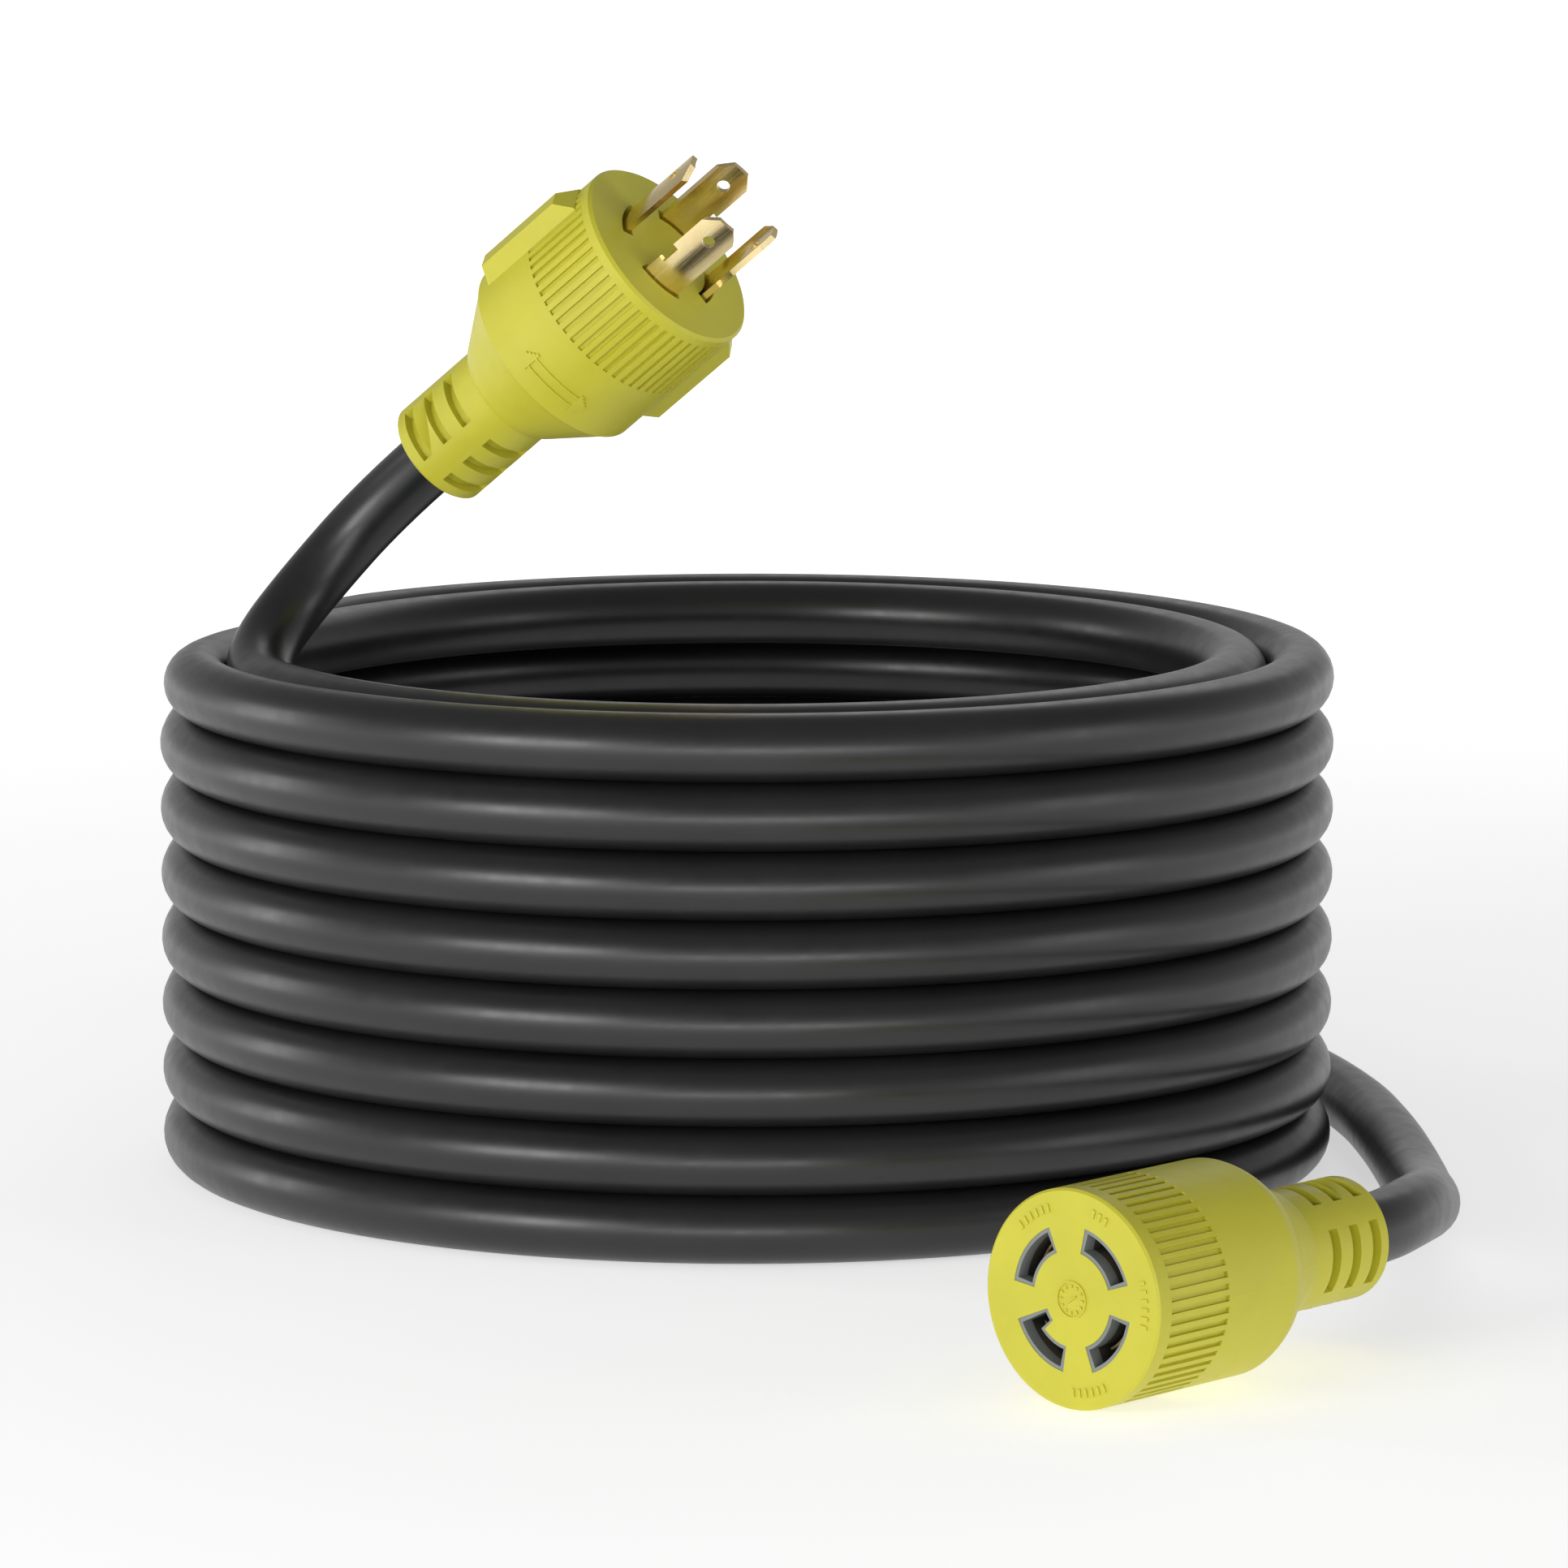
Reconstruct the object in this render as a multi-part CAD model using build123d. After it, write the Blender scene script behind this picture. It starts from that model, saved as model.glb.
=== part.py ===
from build123d import *
import math
import os

# Four-pole locking extension cord: a moulded plug, a moulded connector and a
# heavy round cable wound into a coil.  Millimetres.  +Z is up, z = 0 is the
# floor, and the origin is under the middle of the whole object.

# ---- driving dimensions --------------------------------------------------
CABLE_D = 17.2                      # outer diameter of the four-core cable
LEVELS = 8                          # turns stacked in the outer layer
RING_R = 145.0                      # centreline radius of the outer layer
INNER_R = RING_R - CABLE_D          # centreline radius of the one inner turn
COIL_X, COIL_Y = -12.2, -7.6        # where the coil's axis stands

CABLE_R = CABLE_D / 2
COIL_H = LEVELS * CABLE_D
TOP_Z = COIL_H - CABLE_R            # centreline height of the top level
LIFT_AZ = 209.2                     # where the inner turn lifts off the coil
INNER_END_AZ = 150.0                # where the inner turn joins the top level
BOTTOM_AZ = 90.0                    # where the bottom turn leaves the coil
CROSS_AZ = 177.0                    # where each turn starts its step upwards
WALL_GAP = 1.6                      # keeps the tails off the coil's walls
SCALLOP = 2.4                       # how far each turn bulges out of the wall

PLUG_OD = 54.5
PLUG_LEN = 89.3                     # from the face to the boot's rear end
PLUG_FACE = (-20.1, -32.0, 241.3)   # from the foot of the coil's axis
PLUG_AXIS = (0.680, -0.400, 0.620)  # out of the face
PLUG_X = (-0.640, 0.090, 0.760)     # roughly towards the first wing

CONN_OD = 51.5
CONN_LEN = 99.5
CONN_FACE = (74.0, -317.0, CONN_OD / 2)
CONN_AXIS = (-0.668, -0.744, 0.0)
CONN_X = (0.744, -0.668, 0.0)

BLADE_R = 14.3                      # radius of the circle the blades lie on
BLADE_T = 1.6
BLADE_ARC = 42.0                    # degrees that a blade covers
BLADE_OUT = 25.0                    # how far the blades stand out of the face
FLANGE_REACH = 3.2                  # the ground blade's inward flange
FLANGE_ARC = 6.8
SLOT_W = 4.3                        # radial width of a receptacle slot
SLOT_ARC = 52.0
CHIMNEY_WALL = 0.9                  # dark rim around each slot

PLUG_TURN = 19.0                    # blade pattern's turn about the axis
PLUG_POLES = {"y": 0.0, "ground": 90.0, "x": 180.0, "w": 270.0}
CONN_POLES = {"w": 48.0, "x": 143.0, "ground": 232.0, "y": 320.5}
WIRE_COLOURS = {"x": "black", "y": "red", "w": "white", "ground": "green"}

BOOT_R = 14.7                       # strain relief
BOOT_LEN = 29.0
SPIGOT_R = 11.5                     # the boot's front end, inside the body
SPIGOT_LEN = 4.0
BOOT_SLOT_W = 3.2
BOOT_SLOT_ARC = 63.0
BOOT_SLOT_DEPTH = 2.4
BOOT_SLOT_FROM_END = (5.0, 12.6, 20.2)
NECK_R = 15.6                       # rear end of a moulded body
GROOVES = 58
GROOVE_W = 1.4
GROOVE_DEPTH = 0.8
BAND_T = 1.6                        # thickness of the grooved grip band
PLUG_BAND = (-23.4, -3.2)           # rear and front end of each grip band
CONN_BAND = (-25.5, -4.6)

WIRE_R = 2.3                        # insulated conductor
STRAND_R = 1.35                     # its bare copper
BARREL_R = 2.9                      # crimp barrel
WIRE_CIRCLE_R = 3.7                 # where the conductors lie in the cable


# ---- helpers -------------------------------------------------------------
def sector(r_in, r_out, z_low, z_high, middle, arc):
    """A block between two radii, spanning an arc about +Z."""
    size = Rectangle(r_out - r_in, z_high - z_low)
    face = Plane.XZ * Pos((r_in + r_out) / 2, (z_low + z_high) / 2) * size
    return Rot(0, 0, middle - arc / 2) * revolve(face, Axis.Z, revolution_arc=arc)


def turned(*points):
    """A solid of revolution about +Z from (radius, height) corners."""
    return revolve(Plane.XZ * make_face(Polyline(*points, close=True)), Axis.Z)


def ring(r_in, r_out, z_low, z_high):
    """A round disc or washer."""
    disc = Pos(0, 0, (z_low + z_high) / 2) * Cylinder(r_out, z_high - z_low)
    if r_in == 0:
        return disc
    return disc - Pos(0, 0, (z_low + z_high) / 2) * Cylinder(r_in, z_high - z_low + 2)


def polar(radius, degrees, z=0.0):
    a = math.radians(degrees)
    return (radius * math.cos(a), radius * math.sin(a), z)


def from_coil(x, y, z):
    """A place given from the foot of the coil's axis."""
    return (x + COIL_X, y + COIL_Y, z)


def stepped(start, direction, distance):
    size = math.sqrt(sum(c * c for c in direction))
    return tuple(s + distance * c / size for s, c in zip(start, direction))


def corner_radii(points):
    """For each corner: 0.45 of the shorter run over tan(half the turn)."""
    radii = []
    for a, b, c in zip(points, points[1:], points[2:]):
        first = Vector(*b) - Vector(*a)
        second = Vector(*c) - Vector(*b)
        half_turn = math.radians(first.get_angle(second)) / 2
        radii.append(0.45 * min(first.length, second.length) / math.tan(half_turn))
    return radii


def tube(points, diameter, label):
    """A round cable along straight runs joined by tangent arcs."""
    radii = corner_radii(points)
    path = FilletPolyline(*points, radius=radii)
    section = Plane(origin=path @ 0, z_dir=path % 0) * Circle(diameter / 2)
    solid = sweep(section, path=path)
    expected = math.pi * diameter ** 2 / 4 * path.length
    if label:
        print(label, "length", round(path.length, 1), "volume/expected",
              round(solid.volume / expected, 5), "radii", [round(r) for r in radii])
    return solid


# ---- shapes that plug and connector share --------------------------------
def boot(rear_z, slots_at):
    """Strain relief: a sleeve with three rows of four blind slots."""
    front_z = rear_z + BOOT_LEN
    sleeve = turned((CABLE_R, rear_z), (BOOT_R - 0.6, rear_z), (BOOT_R, rear_z + 0.6),
                    (BOOT_R, front_z), (SPIGOT_R, front_z), (SPIGOT_R, front_z + SPIGOT_LEN),
                    (CABLE_R, front_z + SPIGOT_LEN))
    pockets = Part()
    for row in BOOT_SLOT_FROM_END:
        for quarter in range(4):
            low = rear_z + row - BOOT_SLOT_W / 2
            pockets += sector(BOOT_R - BOOT_SLOT_DEPTH, BOOT_R + 1, low, low + BOOT_SLOT_W,
                              slots_at + 90 * quarter, BOOT_SLOT_ARC)
    return sleeve - pockets


def grip_band(radius, z_low, z_high):
    """Outer skin of the grip, with grooves that run along the axis."""
    ribbed = Circle(radius) - Circle(radius - BAND_T)
    groove = Rectangle(2 * GROOVE_DEPTH, GROOVE_W)
    ribbed -= [Rot(0, 0, step * 360 / GROOVES) * Pos(radius, 0) * groove
               for step in range(GROOVES)]
    return Pos(0, 0, z_low) * extrude(ribbed, z_high - z_low)


def cavity_shape(front_z, waist_z, rear_z):
    """Hollow of a moulded body, narrowing to the boot's spigot."""
    return turned((0, front_z), (20.8, front_z), (20.8, waist_z),
                  (SPIGOT_R + 0.5, rear_z + SPIGOT_LEN), (SPIGOT_R, rear_z + SPIGOT_LEN),
                  (SPIGOT_R, rear_z - 1), (0, rear_z - 1))


def wire_route(angle, barrel_z, jacket_z):
    """From a crimp barrel in to its place in the cable."""
    reach = barrel_z - jacket_z
    return [polar(BLADE_R - 2.2, angle, barrel_z),
            polar(BLADE_R - 2.2, angle, barrel_z - reach * 0.25),
            polar(WIRE_CIRCLE_R, angle, barrel_z - reach * 0.72),
            polar(WIRE_CIRCLE_R, angle, jacket_z)]


def wiring(poles, turn, barrel_top, jacket_z):
    """Crimp barrels, bare strands and insulated conductors of one fitting."""
    barrel_low = barrel_top - 9.0
    barrels, strands = [], []
    conductors = {}
    for pole, angle in poles.items():
        at = angle + turn
        centre = Pos(*polar(BLADE_R - 2.2, at))
        barrels.append(centre * ring(STRAND_R, BARREL_R, barrel_low, barrel_top))
        strands.append(centre * ring(0, STRAND_R, barrel_low, barrel_top - 1.5))
        route = wire_route(at, barrel_low, jacket_z)
        conductors[WIRE_COLOURS[pole]] = tube(route, 2 * WIRE_R, None)
    return barrels, strands, conductors


def inner_mould(front_z, rear_z, barrels, conductors):
    """Hard pre-moulded block that locks the crimps and the conductors."""
    block = turned((0, front_z), (19.4, front_z), (19.4, front_z - 9), (10.6, rear_z),
                   (0, rear_z))
    for piece in barrels + list(conductors.values()):
        block -= piece
    for barrel in barrels:
        centre = barrel.center()
        block -= Pos(centre.X, centre.Y, centre.Z) * Cylinder(STRAND_R + 0.4, 9.0)
    return max(block.solids(), key=lambda s: s.volume)


# ---- plug, built with its face at z = 0 looking along +Z -----------------
def plug_shell():
    r = PLUG_OD / 2
    waist = -43.5
    rear = -(PLUG_LEN - BOOT_LEN)
    outer = turned((0, 0), (r - 0.8, 0), (r, -0.8), (r, waist + 0.6), (r - 0.9, waist - 0.4),
                   (NECK_R + 1.0, rear + 1.2), (NECK_R, rear), (0, rear))
    outer -= ring(r - BAND_T, r + 1, *PLUG_BAND)
    outer += wings(r)
    outer += lock_arrow(r)
    cavity = cavity_shape(-4, -41, rear)
    shell = outer - cavity
    for angle in PLUG_POLES.values():
        at = angle + PLUG_TURN
        shell -= sector(BLADE_R - 1.7, BLADE_R + 1.7, -5, 1, at, BLADE_ARC + 7)
    flange_at = PLUG_POLES["ground"] + PLUG_TURN + BLADE_ARC / 2 - FLANGE_ARC / 2
    return shell - sector(BLADE_R - FLANGE_REACH - 1.7, BLADE_R, -5, 1, flange_at, FLANGE_ARC + 7)


def wings(r):
    """Two raised pads along the body's sides, sloped on all four sides."""
    height = 4.0
    side = Plane.XZ * make_face(Polyline((r - 2.2, -5.6), (r, -5.6), (r + height, -10.0),
                                         (r + height, -37.2), (r - 0.4, -38.8), (r - 2.2, -38.8),
                                         close=True))
    across = Plane.XY.offset(-40) * make_face(Polyline(
        (r - 2.2, -5.4), (r - 0.6, -5.2), (r + height, -2.8), (r + height, 2.8), (r - 0.6, 5.2),
        (r - 2.2, 5.4), close=True))
    pad = extrude(side, 8, both=True) & extrude(across, 40)
    return [Rot(0, 0, angle) * pad for angle in (18.5, 201.5)]


def lock_arrow(r):
    """Raised double-headed arrow that shows the turn to lock."""
    middle, z_mid = 104.0, -36.0
    low, high = r - 0.3, r + 0.45
    arrow = Part()
    for side in (-1, 1):
        arrow += sector(low, high, z_mid + side * 1.5 - 0.3, z_mid + side * 1.5 + 0.3, middle, 32)
        for step in range(4):
            reach = 3.0 - 0.75 * step
            arrow += sector(low, high, z_mid - reach, z_mid + reach,
                            middle + side * (16.8 + 1.7 * step), 1.8)
    return arrow


def flange(z_low, z_high):
    """Inward flange along one edge of the ground blade."""
    reach = BLADE_R - BLADE_T / 2
    return sector(reach - FLANGE_REACH, reach + 0.5, z_low, z_high,
                  BLADE_ARC / 2 - FLANGE_ARC / 2, FLANGE_ARC)


def blade(angle, is_ground):
    """Curved blade with bevelled tip, locking notch and a hole near its tip."""
    root = -14.0
    r_in, r_out = BLADE_R - BLADE_T / 2, BLADE_R + BLADE_T / 2
    body = sector(r_in, r_out, root, BLADE_OUT, 0, BLADE_ARC)
    if is_ground:
        body += flange(root, BLADE_OUT - 5.5)
    half = BLADE_R * math.sin(math.radians(BLADE_ARC / 2))
    outline = Polyline((-half - 1, root - 1), (half + 1, root - 1), (half + 1, BLADE_OUT - 4.5),
                       (half - 2.8, BLADE_OUT), (-half + 2.8, BLADE_OUT),
                       (-half - 1, BLADE_OUT - 4.5), close=True)
    trim = extrude(Plane.YZ * make_face(outline), 2 * BLADE_R)
    notch = Pos(BLADE_R, -half, 8.0) * Box(8, 2.8, 5.2)
    hole = Pos(BLADE_R, 0, BLADE_OUT - 6.8) * Rot(0, 90, 0) * Cylinder(1.7, 12)
    return Rot(0, 0, angle) * ((body & trim) - notch - hole)


def plug_nodes():
    blades = {pole: blade(angle + PLUG_TURN, pole == "ground")
              for pole, angle in PLUG_POLES.items()}
    carrier = ring(0, 20.6, -18.0, -4.0)
    for piece in blades.values():
        carrier -= piece
    jacket_z = -(PLUG_LEN - BOOT_LEN) + 1.0
    barrels, strands, conductors = wiring(PLUG_POLES, PLUG_TURN, -18.0, jacket_z)
    band = grip_band(PLUG_OD / 2, *PLUG_BAND)
    for pad in wings(PLUG_OD / 2):
        band -= pad
    nodes = {
        "plug_body_shell": [plug_shell()],
        "plug_grip_band": band.solids(),
        "plug_strain_relief": [boot(-PLUG_LEN, 57.0)],
        "plug_blade_carrier": [carrier],
        "plug_ground_blade": [blades["ground"]],
        "plug_crimp_barrels": barrels,
        "plug_copper_strands": strands,
        "plug_inner_mould": [inner_mould(-18.0, jacket_z + 3.0, barrels, conductors)],
        "plug_cable_end": [ring(0, CABLE_R, -PLUG_LEN, jacket_z)],
    }
    for pole in ("x", "y", "w"):
        nodes["plug_blade_" + pole] = [blades[pole]]
    for colour, piece in conductors.items():
        nodes["plug_conductor_" + colour] = [piece]
    return nodes


# ---- connector, built with its face at z = 0 looking along +Z ------------
def slot_cutter(angle, wider, z_low, z_high, is_ground):
    """A curved slot, with the hooked end that only the ground blade has."""
    r_in, r_out = BLADE_R - SLOT_W / 2 - wider, BLADE_R + SLOT_W / 2 + wider
    extra = 2 * math.degrees(wider / BLADE_R)
    cutter = sector(r_in, r_out, z_low, z_high, angle, SLOT_ARC + extra)
    if is_ground:
        end = angle - SLOT_ARC / 2 - extra / 2
        hook_arc = 15.0 + extra
        cutter += sector(r_in - 3.4, r_out, z_low, z_high, end + hook_arc / 2, hook_arc)
    return cutter


def connector_shell():
    r = CONN_OD / 2
    shoulder = -57.4
    rear = -(CONN_LEN - BOOT_LEN)
    profile = Polyline((0, 0), (r - 0.6, 0), (r, -0.6), (r, shoulder + 7)) \
        + Line((NECK_R + 3.4, shoulder - 3.0), (NECK_R, rear)) \
        + Line((NECK_R, rear), (0, rear)) + Line((0, rear), (0, 0)) \
        + ThreePointArc((r, shoulder + 7), (r - 2.6, shoulder + 1.6), (NECK_R + 3.4, shoulder - 3.0))
    outer = revolve(Plane.XZ * make_face(profile), Axis.Z)
    outer -= ring(r - BAND_T, r + 1, *CONN_BAND)
    cavity = cavity_shape(-3.5, -50, rear)
    shell = outer - cavity
    for pole, angle in CONN_POLES.items():
        shell -= slot_cutter(angle, CHIMNEY_WALL, -5, 1, pole == "ground")
    return shell + face_marks()


def face_marks():
    """Raised dial with plain ticks, and plain bars in place of wording."""
    low, high = -0.4, 0.35
    marks = ring(4.0, 4.35, low, high)
    for step in range(12):
        marks += sector(2.7, 3.5, low, high, 30 * step, 7)
    marks += Rot(0, 0, 35) * Pos(0, 0, (low + high) / 2) * Box(3.2, 0.4, high - low)
    for middle, count, spacing in ((122, 6, 5.0), (68, 3, 5.0), (4, 6, 5.4), (284, 6, 5.0)):
        for step in range(count):
            at = middle + (step - (count - 1) / 2) * spacing
            marks += sector(20.6, 22.6, low, high, at, 2.2)
    return marks


def contact(angle):
    """Folded brass contact: two curved leaves joined at the back."""
    gap = BLADE_T / 2
    leaf = 0.6
    low, high = -32.0, -6.5
    inner = sector(BLADE_R - gap - leaf, BLADE_R - gap, low, high, angle, 44)
    outer = sector(BLADE_R + gap, BLADE_R + gap + leaf, low, high, angle, 44)
    back = sector(BLADE_R - gap - leaf, BLADE_R + gap + leaf, low, low + 1.0, angle, 44)
    return inner + outer + back


def slot_rims():
    """Thin walls that line each slot where it passes through the face."""
    rims = []
    for pole, angle in CONN_POLES.items():
        is_ground = pole == "ground"
        wall = slot_cutter(angle, CHIMNEY_WALL - 0.05, -3.5, -0.15, is_ground)
        rims += (wall - slot_cutter(angle, 0, -5, 1, is_ground)).solids()
    return rims


def connector_nodes():
    carrier_front = -3.5
    carrier_rear = -32.0
    slot_outer = BLADE_R + SLOT_W / 2
    core = ring(0, slot_outer, carrier_rear, carrier_front)
    for pole, angle in CONN_POLES.items():
        core -= slot_cutter(angle, 0, carrier_rear - 1, 1, pole == "ground")
        core -= sector(slot_outer - 0.3, slot_outer + 1, carrier_rear - 1, 1, angle, SLOT_ARC)
    cap = ring(0, 20.6, -36.0, -32.0)
    jacket_z = -(CONN_LEN - BOOT_LEN) + 1.0
    barrels, strands, conductors = wiring(CONN_POLES, 0.0, -36.0, jacket_z)
    nodes = {
        "connector_body_shell": [connector_shell()],
        "connector_strain_relief": [boot(-CONN_LEN, -5.0)],
        "connector_grip_band": [grip_band(CONN_OD / 2, *CONN_BAND)],
        "connector_carrier_core": [core],
        "connector_carrier_ring": [ring(slot_outer, 20.6, carrier_rear, carrier_front)],
        "connector_slot_rims": slot_rims(),
        "connector_carrier_cap": [cap],
        "connector_crimp_barrels": barrels,
        "connector_copper_strands": strands,
        "connector_inner_mould": [inner_mould(-36.0, jacket_z + 3.0, barrels, conductors)],
        "connector_cable_end": [ring(0, CABLE_R, -CONN_LEN, jacket_z)],
    }
    for pole, angle in CONN_POLES.items():
        name = "ground_contact" if pole == "ground" else "contact_" + pole
        nodes["connector_" + name] = [contact(angle)]
    for colour, piece in conductors.items():
        nodes["connector_conductor_" + colour] = [piece]
    return nodes


# ---- cable ---------------------------------------------------------------
def scalloped_wall(radius, outward, z_low, levels):
    """Edges of a wall that bulges once for each turn, from the bottom up."""
    wall = Curve()
    root = radius - outward * SCALLOP
    for level in range(levels):
        low = z_low if level == 0 else (level + LEVELS - levels) * CABLE_D
        high = (level + 1 + LEVELS - levels) * CABLE_D
        wall += ThreePointArc((root, low), (radius, (low + high) / 2), (root, high))
    return wall


def cable_coil():
    """The outer shape of the wound turns."""
    outer_r = RING_R + CABLE_R
    inner_r = RING_R - CABLE_R + WALL_GAP
    low = CABLE_D + 0.4
    section = scalloped_wall(outer_r, 1, low, LEVELS - 1) \
        + scalloped_wall(inner_r, -1, low, LEVELS - 1) \
        + Line((inner_r + SCALLOP, low), (outer_r - SCALLOP, low)) \
        + Line((inner_r + SCALLOP, COIL_H), (outer_r - SCALLOP, COIL_H))
    stack = revolve(Plane.XZ * make_face(section), Axis.Z)
    bottom_sweep = 360 - (CROSS_AZ - BOTTOM_AZ)
    bottom = half_round_turn(outer_r, inner_r, 0, low + 1.0, BOTTOM_AZ - bottom_sweep, bottom_sweep)
    top_sweep = INNER_END_AZ + 360 - LIFT_AZ
    top_low = TOP_Z - CABLE_R
    top = half_round_turn(inner_r + 3.5, INNER_R - CABLE_R, top_low, COIL_H, LIFT_AZ, top_sweep)
    return Pos(COIL_X, COIL_Y, 0) * (stack + bottom + top)


def half_round_turn(r_out, r_in, z_low, z_high, start, arc):
    """One turn of the coil with a flat top and underside."""
    inner_root = r_in + SCALLOP
    outer_root = r_out - SCALLOP
    middle = (z_low + z_high) / 2
    face = make_face(ThreePointArc((inner_root, z_low), (r_in, middle), (inner_root, z_high))
                     + Line((inner_root, z_high), (outer_root, z_high))
                     + ThreePointArc((outer_root, z_high), (r_out, middle), (outer_root, z_low))
                     + Line((outer_root, z_low), (inner_root, z_low)))
    return Rot(0, 0, start) * revolve(Plane.XZ * face, Axis.Z, revolution_arc=arc)


def tail_routes():
    """Points of the two free stretches, given from the coil's axis."""
    lift = polar(INNER_R, LIFT_AZ, TOP_Z)
    along = polar(1.0, LIFT_AZ - 90)
    plug_rear = stepped(PLUG_FACE, PLUG_AXIS, -PLUG_LEN)
    plug_tail = [
        lift,
        stepped(lift, along, 18.2),
        (-127.0, -26.0, 128.9),
        (-127.0, -4.0, 136.0),
        (-114.7, 11.0, 151.0),
        stepped(plug_rear, PLUG_AXIS, -22.0),
        plug_rear,
    ]
    connector_rear = stepped(CONN_FACE, CONN_AXIS, -CONN_LEN)
    floor_z = CABLE_R
    connector_tail = [
        connector_rear,
        stepped(connector_rear, CONN_AXIS, -15.0),
        (159.5, -208.0, 25.0),
        (165.0, -180.0, 21.5),
        (168.0, -147.0, 16.0),
        (169.5, -110.0, 10.8),
        (170.0, -68.0, floor_z),
        (168.0, -21.0, floor_z),
        (163.5, 27.0, floor_z),
        (152.0, 78.0, floor_z),
        (133.0, 132.0, floor_z),
        (112.5, 184.0, floor_z),
        (88.5, 235.5, floor_z),
        (59.0, 287.0, floor_z),
        (19.0, 329.5, floor_z),
        (-35.0, 344.0, floor_z),
        (-89.0, 327.0, floor_z),
        (-125.0, 283.0, floor_z),
        (-132.0, 227.0, floor_z),
        (-107.0, 175.0, floor_z),
        (-57.0, RING_R, floor_z),
        (0.0, RING_R, floor_z),
    ]
    return plug_tail, connector_tail


def cable_nodes():
    plug_tail, connector_tail = tail_routes()
    return {
        "cable_coil": [cable_coil()],
        "cable_plug_tail": [tube([from_coil(*p) for p in plug_tail], CABLE_D, "plug tail")],
        "cable_connector_tail": [tube([from_coil(*p) for p in connector_tail], CABLE_D,
                                      "connector tail")],
    }


# ---- write one file for each node ----------------------------------------
def main():
    os.makedirs("parts", exist_ok=True)
    plug_place = Plane(origin=from_coil(*PLUG_FACE), x_dir=PLUG_X, z_dir=PLUG_AXIS).location
    conn_place = Plane(origin=from_coil(*CONN_FACE), x_dir=CONN_X, z_dir=CONN_AXIS).location
    nodes = dict(cable_nodes())
    for place, group in ((plug_place, plug_nodes()), (conn_place, connector_nodes())):
        for name, pieces in group.items():
            nodes[name] = [place * piece for piece in pieces]
    for name, pieces in nodes.items():
        solids = [solid for piece in pieces for solid in piece.solids()]
        shape = solids[0] if len(solids) == 1 else Compound(children=solids)
        export_step(shape, os.path.join("parts", name + ".step"))
    print(len(nodes), "nodes")


main()
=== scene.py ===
"""Looks of a coiled four-pole locking power cord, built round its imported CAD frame.  Metres, +Z up."""
import math

import bpy
from mathutils import Matrix, Vector


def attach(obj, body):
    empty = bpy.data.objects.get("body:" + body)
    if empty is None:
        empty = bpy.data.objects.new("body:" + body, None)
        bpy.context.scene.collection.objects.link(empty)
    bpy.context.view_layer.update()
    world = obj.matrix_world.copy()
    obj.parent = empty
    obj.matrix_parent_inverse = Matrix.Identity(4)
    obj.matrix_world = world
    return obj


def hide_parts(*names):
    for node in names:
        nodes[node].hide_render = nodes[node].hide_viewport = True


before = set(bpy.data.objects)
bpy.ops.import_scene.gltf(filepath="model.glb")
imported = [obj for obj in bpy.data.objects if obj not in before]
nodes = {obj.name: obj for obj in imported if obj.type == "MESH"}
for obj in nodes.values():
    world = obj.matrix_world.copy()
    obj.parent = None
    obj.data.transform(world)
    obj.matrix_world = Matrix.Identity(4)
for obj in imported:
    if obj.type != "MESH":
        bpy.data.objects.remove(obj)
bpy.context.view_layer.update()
scene = bpy.context.scene

MM = 0.001
COIL_X = -12.2                          # the coil's axis in the frame, in mm, as are the sizes below
COIL_Y = -7.6

CABLE_D = 17.2
LEVELS = 8                              # turns stacked on each other
RING_R = 145.0                          # middle of the cable in the stacked turns
INNER_R = RING_R - CABLE_D
CABLE_R = CABLE_D / 2
TOP_Z = (LEVELS - 0.5) * CABLE_D        # middle of the cable in the top turn

# Azimuths round the coil, in degrees: the turns run clockwise, from larger to smaller.
BOTTOM_AZ = 90.0                        # the bottom turn begins
CROSS_AZ = 177.0                        # each turn begins to step up
STEP_ARC = 38.0                         # and takes this long over it
INWARD_AZ = 188.0                       # the top turn begins to move in
INNER_END_AZ = 150.0                    # and is in by here
LIFT_AZ = 209.2                         # the inner turn lifts off towards the plug

PLUG_LEN = 89.3
PLUG_FACE = (-20.1, -32.0, 241.3)
PLUG_AXIS = (0.680, -0.400, 0.620)
PLUG_X = (-0.640, 0.090, 0.760)

CONN_OD = 51.5
CONN_LEN = 99.5
CONN_FACE = (74.0, -317.0, CONN_OD / 2)
CONN_AXIS = (-0.668, -0.744, 0.0)
CONN_X = (0.744, -0.668, 0.0)


def place(x, y, z):
    """A point given in mm from the foot of the coil's axis, in metres in the frame."""
    return Vector(((x + COIL_X) * MM, (y + COIL_Y) * MM, z * MM))


def polar(radius, degrees, z):
    angle = math.radians(degrees)
    return (radius * math.cos(angle), radius * math.sin(angle), z)


def stepped(start, direction, distance):
    size = math.sqrt(sum(c * c for c in direction))
    return tuple(s + distance * c / size for s, c in zip(start, direction))


def ease(t):
    """A smooth rise from 0 to 1 while t goes from 0 to 1."""
    t = min(max(t, 0.0), 1.0)
    return (1 - math.cos(math.pi * t)) / 2


def local_frame(origin, axis, x_dir):
    """Matrix of a fitting: its face at z = 0, looking along +Z."""
    z = Vector(axis).normalized()
    x = Vector(x_dir)
    x = (x - z * x.dot(z)).normalized()
    y = z.cross(x)
    turn = Matrix((x, y, z)).transposed().to_4x4()
    return Matrix.Translation(place(*origin)) @ turn


PLUG = local_frame(PLUG_FACE, PLUG_AXIS, PLUG_X)
CONN = local_frame(CONN_FACE, CONN_AXIS, CONN_X)

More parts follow.
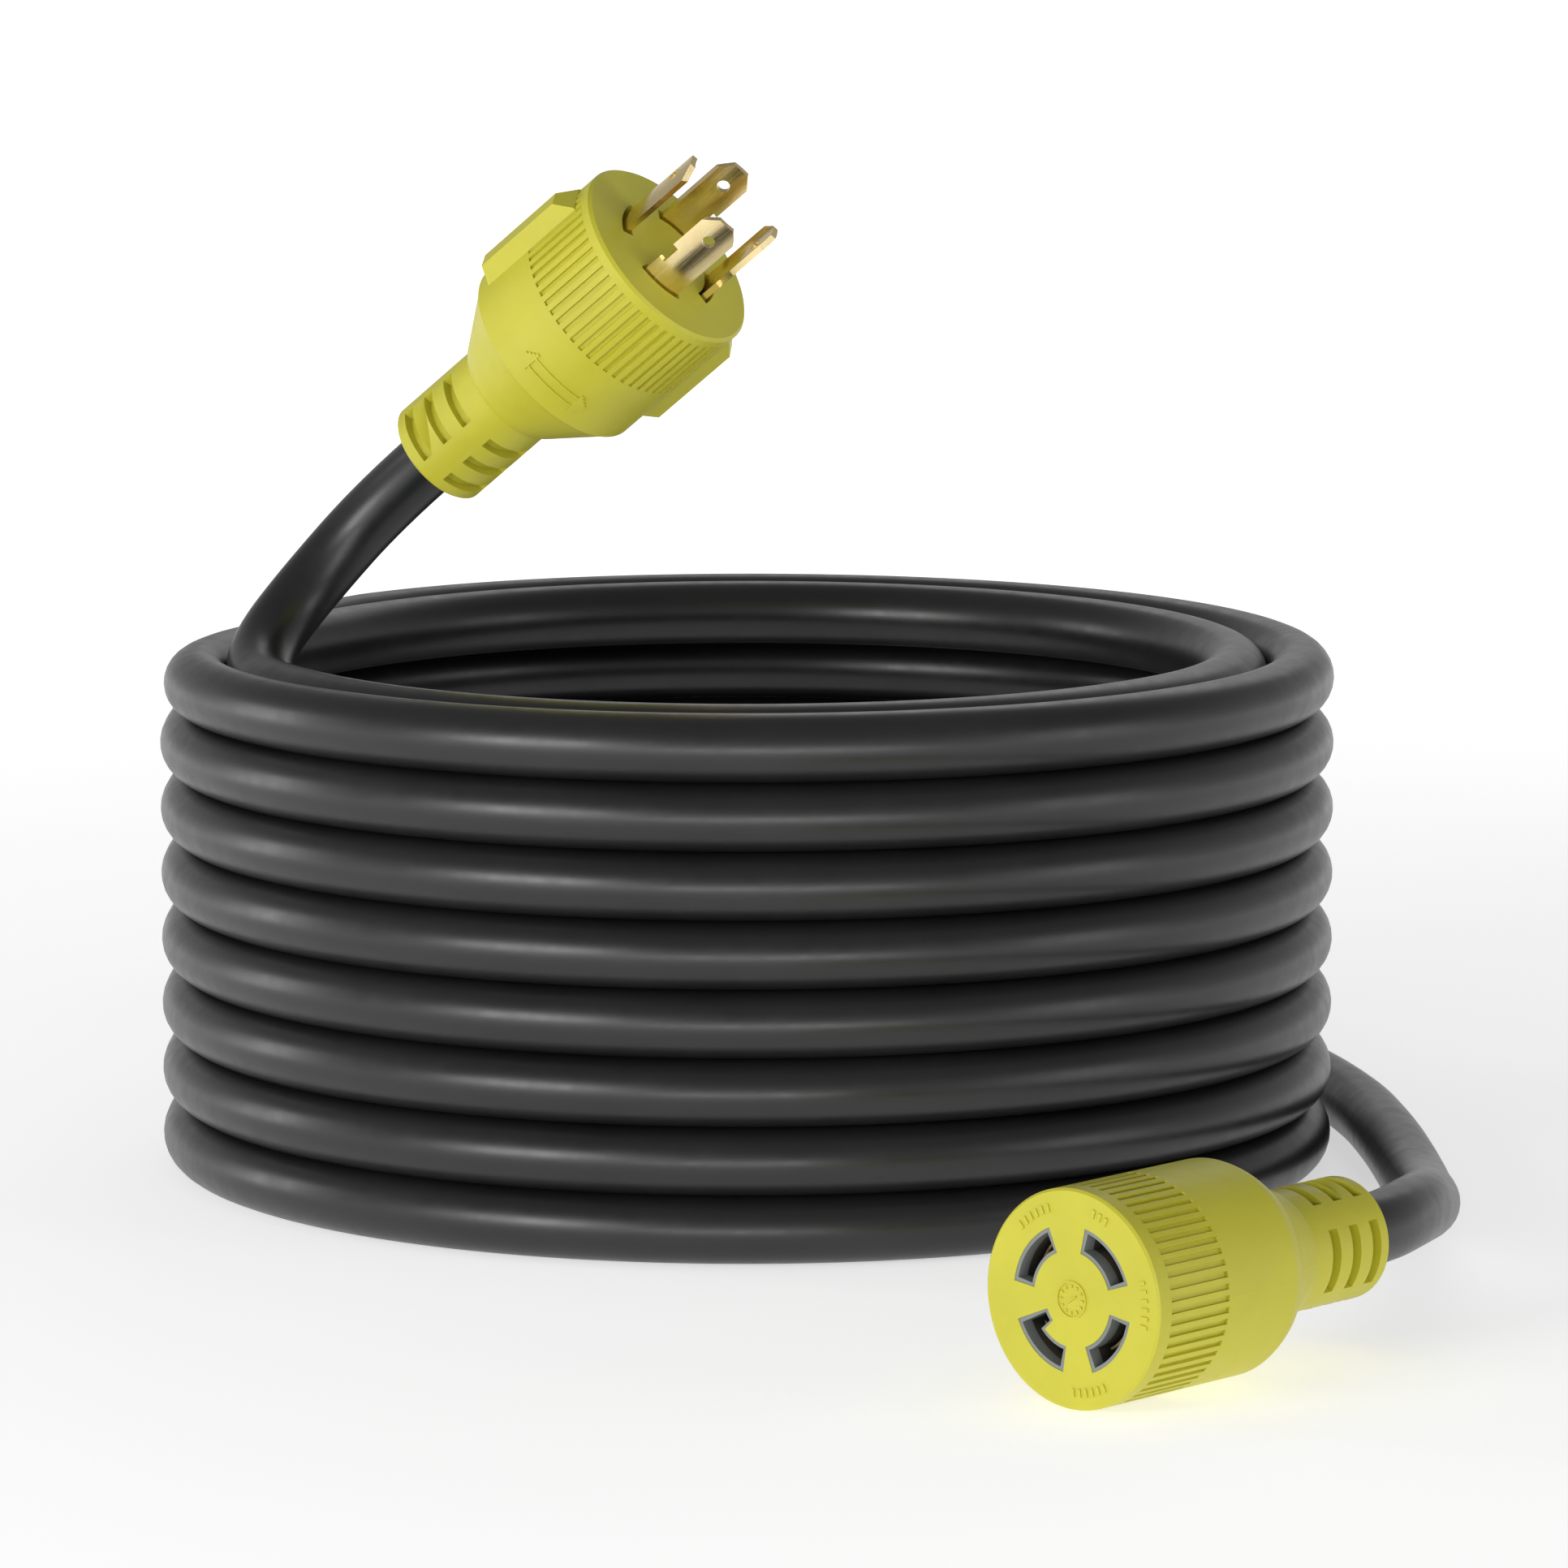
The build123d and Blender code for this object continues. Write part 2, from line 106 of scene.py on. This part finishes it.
CAMERA_AT = (-0.9, -2305.7, 430.1)
CAMERA_PITCH = math.pi / 2 - 0.1425     # a level camera, tilted down by about 8 degrees
CAMERA_YAW = -0.0046
CAMERA_LENS = 203.69

# ---- camera --------------------------------------------------------------
camera = bpy.data.objects.new("camera", bpy.data.cameras.new("camera"))
scene.collection.objects.link(camera)
camera.location = place(*CAMERA_AT)
camera.rotation_euler = (CAMERA_PITCH, 0.0, CAMERA_YAW)
camera.data.sensor_width = 36.0
camera.data.lens = CAMERA_LENS
camera.data.clip_start = 0.05
camera.data.clip_end = 100.0
scene.camera = camera

# ---- the cable -----------------------------------------------------------
POINTS_PER_TURN = 24
STEP = 360 / POINTS_PER_TURN
# A control polygon this much wider than the circle makes a spline of the circle's size.
WIDER = 8 / (6 + 2 * math.cos(math.radians(STEP)))


def connector_tail():
    """From the connector along the floor, round a loop behind the coil, to the bottom turn."""
    rear = stepped(CONN_FACE, CONN_AXIS, -CONN_LEN)
    floor_z = CABLE_R
    return [
        rear,
        stepped(rear, CONN_AXIS, -15.0),
        (159.5, -208.0, 25.0),
        (165.0, -180.0, 21.5),
        (168.0, -147.0, 16.0),
        (169.5, -110.0, 10.8),
        (170.0, -68.0, floor_z),
        (168.0, -21.0, floor_z),
        (163.5, 27.0, floor_z),
        (152.0, 78.0, floor_z),
        (133.0, 132.0, floor_z),
        (112.5, 184.0, floor_z),
        (88.5, 235.5, floor_z),
        (59.0, 287.0, floor_z),
        (19.0, 329.5, floor_z),
        (-35.0, 344.0, floor_z),
        (-89.0, 327.0, floor_z),
        (-125.0, 283.0, floor_z),
        (-132.0, 227.0, floor_z),
        (-107.0, 175.0, floor_z),
        (-57.0, RING_R, floor_z),
    ]


def outer_turns():
    """Eight turns, clockwise from the back, each stepping up onto the one below."""
    points = []
    count = int((BOTTOM_AZ + 360 * LEVELS - INNER_END_AZ) / STEP) + 1
    for index in range(count):
        azimuth = BOTTOM_AZ - STEP / 2 - index * STEP
        travelled = CROSS_AZ - 360 - azimuth
        level = 0.0
        for turn in range(LEVELS - 1):
            level += ease((travelled - 360 * turn) / STEP_ARC)
        inward = ease((INWARD_AZ - 360 * LEVELS - azimuth) / (INWARD_AZ - INNER_END_AZ))
        radius = RING_R + (INNER_R - RING_R) * inward
        points.append(polar(radius * WIDER, azimuth, (level + 0.5) * CABLE_D))
    return points


def inner_turn(start):
    """The one inner turn on top, from azimuth start to where the cable lifts off."""
    end = LIFT_AZ - 360 + STEP / 2
    count = round((start - end) / STEP)
    step = (start - end) / count
    return [polar(INNER_R * WIDER, start - step * (index + 1), TOP_Z) for index in range(count)]


def plug_tail():
    """From the inner turn up to the rear of the plug."""
    lift = polar(INNER_R, LIFT_AZ, TOP_Z)
    along = polar(1.0, LIFT_AZ - 90, 0.0)
    rear = stepped(PLUG_FACE, PLUG_AXIS, -PLUG_LEN)
    return [
        stepped(lift, along, 18.2),
        (-127.0, -26.0, 128.9),
        (-127.0, -4.0, 136.0),
        (-114.7, 11.0, 151.0),
        stepped(rear, PLUG_AXIS, -22.0),
        rear,
    ]


def make_cable():
    turns = outer_turns()
    last_azimuth = math.degrees(math.atan2(turns[-1][1], turns[-1][0]))
    route = connector_tail() + turns + inner_turn(last_azimuth) + plug_tail()
    curve = bpy.data.curves.new("power_cable", "CURVE")
    curve.dimensions = "3D"
    spline = curve.splines.new("NURBS")
    spline.points.add(len(route) - 1)
    for point, spot in zip(spline.points, route):
        point.co = (*place(*spot), 1.0)
    spline.order_u = 3
    spline.use_endpoint_u = True
    spline.resolution_u = 8
    curve.bevel_depth = CABLE_R * MM
    curve.bevel_resolution = 12
    curve.use_fill_caps = True
    cable = bpy.data.objects.new("power_cable", curve)
    scene.collection.objects.link(cable)
    return cable


cable = make_cable()

# ---- materials -----------------------------------------------------------


def new_material(name):
    """A material, its tree and its main shader."""
    material = bpy.data.materials.new(name)
    material.use_nodes = True
    tree = material.node_tree
    shader = tree.nodes["Principled BSDF"]
    return material, tree, shader


def coordinates(tree, matrix=None, stretch=(1.0, 1.0, 1.0)):
    """Object coordinates, in metres, turned into a fitting's own axes when one is given."""
    source = tree.nodes.new("ShaderNodeTexCoord").outputs["Object"]
    if matrix is not None:
        turn = tree.nodes.new("ShaderNodeMapping")
        turn.vector_type = "TEXTURE"
        turn.inputs["Location"].default_value = matrix.to_translation()
        turn.inputs["Rotation"].default_value = matrix.to_euler("XYZ")
        tree.links.new(source, turn.inputs["Vector"])
        source = turn.outputs["Vector"]
    if stretch != (1.0, 1.0, 1.0):
        scale = tree.nodes.new("ShaderNodeMapping")
        scale.inputs["Scale"].default_value = stretch
        tree.links.new(source, scale.inputs["Vector"])
        source = scale.outputs["Vector"]
    return source


def noise(tree, vector, scale, detail=3.0, roughness=0.55):
    node = tree.nodes.new("ShaderNodeTexNoise")
    node.inputs["Scale"].default_value = scale
    node.inputs["Detail"].default_value = detail
    node.inputs["Roughness"].default_value = roughness
    tree.links.new(vector, node.inputs["Vector"])
    return node.outputs["Fac"]


def ramp(tree, factor, *stops):
    node = tree.nodes.new("ShaderNodeValToRGB")
    elements = node.color_ramp.elements
    while len(elements) < len(stops):
        elements.new(0.5)
    for element, (position, colour) in zip(elements, stops):
        element.position = position
        element.color = (*colour, 1.0)
    tree.links.new(factor, node.inputs["Fac"])
    return node.outputs["Color"]


def spread(tree, factor, low, high):
    """Maps a 0.3 to 0.7 noise onto a range of values."""
    node = tree.nodes.new("ShaderNodeMapRange")
    node.inputs["From Min"].default_value = 0.3
    node.inputs["From Max"].default_value = 0.7
    node.inputs["To Min"].default_value = low
    node.inputs["To Max"].default_value = high
    tree.links.new(factor, node.inputs["Value"])
    return node.outputs["Result"]


def bump(tree, shader, *layers):
    """Stacks bumps: each layer is a height, its depth in metres and a strength."""
    previous = None
    for height, depth, strength in layers:
        node = tree.nodes.new("ShaderNodeBump")
        node.inputs["Distance"].default_value = depth
        node.inputs["Strength"].default_value = strength
        tree.links.new(height, node.inputs["Height"])
        if previous is not None:
            tree.links.new(previous, node.inputs["Normal"])
        previous = node.outputs["Normal"]
    tree.links.new(previous, shader.inputs["Normal"])


def shades(base, amount):
    """Two colours, a little darker and a little lighter than base."""
    return (tuple(c * (1 - amount) for c in base), tuple(min(c * (1 + amount), 1.0) for c in base))


def plastic(name, base, rough, variation=0.05, grain=1400.0, grain_depth=0.00004, matrix=None):
    """Moulded plastic: faint mottling, a fine eroded grain and uneven gloss."""
    material, tree, shader = new_material(name)
    vector = coordinates(tree, matrix)
    dark, light = shades(base, variation)
    broad = noise(tree, vector, 38.0, 4.0)
    tree.links.new(ramp(tree, broad, (0.32, dark), (0.68, light)), shader.inputs["Base Color"])
    fine = noise(tree, vector, grain, 2.0, 0.6)
    mid = noise(tree, vector, 210.0, 3.0)
    tree.links.new(spread(tree, mid, rough - 0.05, rough + 0.06), shader.inputs["Roughness"])
    bump(tree, shader, (mid, 0.00006, 0.35), (fine, grain_depth, 0.5))
    return material, shader


def yellow_moulding(name, matrix):
    material, shader = plastic(name, (0.525, 0.492, 0.036), 0.46, 0.045, 1500.0, 0.00005, matrix)
    shader.inputs["Subsurface Weight"].default_value = 0.12
    shader.inputs["Subsurface Radius"].default_value = (0.003, 0.0025, 0.0006)
    shader.inputs["Subsurface Scale"].default_value = 0.6
    shader.inputs["Specular IOR Level"].default_value = 0.42
    return material


def cable_jacket():
    """Satin black jacket with a drawn grain and soft scuffs."""
    material, tree, shader = new_material("cable_jacket")
    vector = coordinates(tree)
    broad = noise(tree, vector, 24.0, 4.0)
    scuffs = noise(tree, vector, 160.0, 5.0, 0.65)
    grain = noise(tree, vector, 2600.0, 2.0, 0.6)
    colour = ramp(tree, broad, (0.3, (0.0085, 0.0087, 0.0092)), (0.7, (0.0135, 0.0137, 0.0142)))
    tree.links.new(colour, shader.inputs["Base Color"])
    tree.links.new(spread(tree, scuffs, 0.31, 0.40), shader.inputs["Roughness"])
    shader.inputs["Specular IOR Level"].default_value = 0.55
    bump(tree, shader, (scuffs, 0.00008, 0.25), (grain, 0.00003, 0.4))
    return material


def brass(name, matrix, base, rough):
    """Stamped metal with lines drawn along the fitting's axis and a light tarnish."""
    material, tree, shader = new_material(name)
    along = coordinates(tree, matrix, (1.0, 1.0, 0.03))
    plain = coordinates(tree, matrix)
    lines = noise(tree, along, 2600.0, 3.0, 0.6)
    tarnish = noise(tree, plain, 130.0, 5.0, 0.6)
    dark, light = shades(base, 0.10)
    tree.links.new(ramp(tree, tarnish, (0.3, dark), (0.7, light)), shader.inputs["Base Color"])
    tree.links.new(spread(tree, lines, rough - 0.06, rough + 0.08), shader.inputs["Roughness"])
    shader.inputs["Metallic"].default_value = 1.0
    bump(tree, shader, (tarnish, 0.00004, 0.2), (lines, 0.00002, 0.35))
    return material


def paint_nodes():
    """Gives every CAD node a material by its name, and returns the cable's."""
    jacket = cable_jacket()
    yellow_plug = yellow_moulding("plug_moulding_yellow", PLUG)
    yellow_conn = yellow_moulding("connector_moulding_yellow", CONN)
    dark, _ = plastic("carrier_dark_grey", (0.035, 0.037, 0.034), 0.5, 0.12)
    rim, _ = plastic("slot_rim_grey", (0.20, 0.215, 0.205), 0.5, 0.08)
    inner, _ = plastic("inner_mould_grey", (0.40, 0.39, 0.33), 0.6, 0.08)
    metal = brass("blade_brass", PLUG, (0.97, 0.76, 0.40), 0.22)
    contact = brass("contact_brass", CONN, (0.80, 0.58, 0.27), 0.33)
    crimp = brass("crimp_tinned", PLUG, (0.62, 0.61, 0.58), 0.35)
    copper = brass("strand_copper", PLUG, (0.80, 0.42, 0.24), 0.38)
    wires = {
        "black": plastic("wire_black", (0.012, 0.012, 0.012), 0.4)[0],
        "red": plastic("wire_red", (0.50, 0.02, 0.015), 0.4)[0],
        "white": plastic("wire_white", (0.75, 0.75, 0.72), 0.4)[0],
        "green": plastic("wire_green", (0.015, 0.26, 0.06), 0.4)[0],
    }
    for name, piece in nodes.items():
        if name.startswith("cable_") or name.endswith("_cable_end"):
            chosen = jacket
        elif name in ("plug_body_shell", "plug_grip_band", "plug_strain_relief"):
            chosen = yellow_plug
        elif name in ("connector_body_shell", "connector_grip_band", "connector_strain_relief"):
            chosen = yellow_conn
        elif "slot_rims" in name:
            chosen = rim
        elif "carrier" in name:
            chosen = dark
        elif "inner_mould" in name:
            chosen = inner
        elif "blade" in name:
            chosen = metal
        elif "contact" in name:
            chosen = contact
        elif "crimp" in name:
            chosen = crimp
        elif "strands" in name:
            chosen = copper
        else:
            chosen = wires[name.rsplit("_", 1)[1]]
        for slot in piece.material_slots:
            slot.material = chosen
    return jacket


jacket = paint_nodes()
cable.data.materials.append(jacket)
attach(cable, "root")
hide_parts("cable_coil", "cable_plug_tail", "cable_connector_tail")

# ---- floor, light --------------------------------------------------------
FLOOR_SIDE = 14.0                       # half of it, in metres
FLOOR_DROP = 0.0004                     # keeps the floor just clear of what lies on it
GLOW_NEAR = 0.3                         # metres from the middle of the floor
GLOW_FAR = 2.2


def make_floor():
    """A plain white floor that glows a little, and more so far from the coil: the glow is painted light,
    and the weaker glow round the coil leaves painted shade there.
    """
    mesh = bpy.data.meshes.new("floor")
    side = FLOOR_SIDE
    corners = [(-side, -side, 0), (side, -side, 0), (side, side, 0), (-side, side, 0)]
    mesh.from_pydata(corners, [], [(0, 1, 2, 3)])
    floor = bpy.data.objects.new("floor", mesh)
    floor.location.z = -FLOOR_DROP
    scene.collection.objects.link(floor)
    material, tree, shader = new_material("floor_pale")
    soft = noise(tree, coordinates(tree), 3.0, 2.0)
    tree.links.new(ramp(tree, soft, (0.3, (0.80, 0.80, 0.80)), (0.7, (0.83, 0.83, 0.83))),
                   shader.inputs["Base Color"])
    shader.inputs["Roughness"].default_value = 0.85
    shader.inputs["Specular IOR Level"].default_value = 0.2
    shader.inputs["Emission Color"].default_value = (1.0, 1.0, 1.0, 1.0)
    # Painted light: the floor glows, and it glows less near the coil, which leaves painted shade round
    # the coil.
    distance = tree.nodes.new("ShaderNodeVectorMath")
    distance.operation = "LENGTH"
    tree.links.new(coordinates(tree), distance.inputs[0])
    glow = tree.nodes.new("ShaderNodeMapRange")
    glow.interpolation_type = "SMOOTHSTEP"
    glow.inputs["From Min"].default_value = GLOW_NEAR
    glow.inputs["From Max"].default_value = GLOW_FAR
    glow.inputs["To Min"].default_value = 0.58
    glow.inputs["To Max"].default_value = 1.0
    tree.links.new(distance.outputs["Value"], glow.inputs["Value"])
    tree.links.new(glow.outputs["Result"], shader.inputs["Emission Strength"])
    mesh.materials.append(material)


def area_light(name, location, target, size, power):
    """A white softbox at location, facing target; metres and watts."""
    data = bpy.data.lights.new(name, "AREA")
    data.shape = "RECTANGLE"
    data.size, data.size_y = size
    data.energy = power
    light = bpy.data.objects.new(name, data)
    scene.collection.objects.link(light)
    light.location = location
    light.rotation_mode = "QUATERNION"
    light.rotation_quaternion = (Vector(target) - Vector(location)).to_track_quat("-Z", "Y")


def make_world():
    """Studio surround: white at the horizon, greyer overhead."""
    world = bpy.data.worlds.new("studio")
    scene.world = world
    world.use_nodes = True
    tree = world.node_tree
    direction = tree.nodes.new("ShaderNodeTexCoord").outputs["Generated"]
    split = tree.nodes.new("ShaderNodeSeparateXYZ")
    tree.links.new(direction, split.inputs["Vector"])
    sky = ramp(tree, split.outputs["Z"], (0.0, (0.95, 0.95, 0.95)), (0.12, (0.60, 0.60, 0.60)),
               (0.6, (0.22, 0.22, 0.22)))
    tree.links.new(sky, tree.nodes["Background"].inputs["Color"])


make_floor()
make_world()
area_light("key_softbox", (-1.7, -1.9, 0.55), (0.0, 0.0, 0.12), (1.1, 0.7), 25.0)
area_light("low_front_strip", (0.2, -2.6, 0.10), (0.0, 0.0, 0.07), (2.2, 0.12), 14.0)
area_light("right_fill", (2.0, -0.9, 0.5), (0.0, 0.0, 0.10), (0.8, 0.8), 3.8)
area_light("left_strip", (-1.6, 0.35, 0.30), (0.0, 0.0, 0.08), (0.35, 0.7), 4.0)
area_light("back_softbox", (0.4, 2.0, 1.3), (0.0, 0.0, 0.10), (1.4, 0.8), 3.5)

scene.view_settings.view_transform = "Standard"
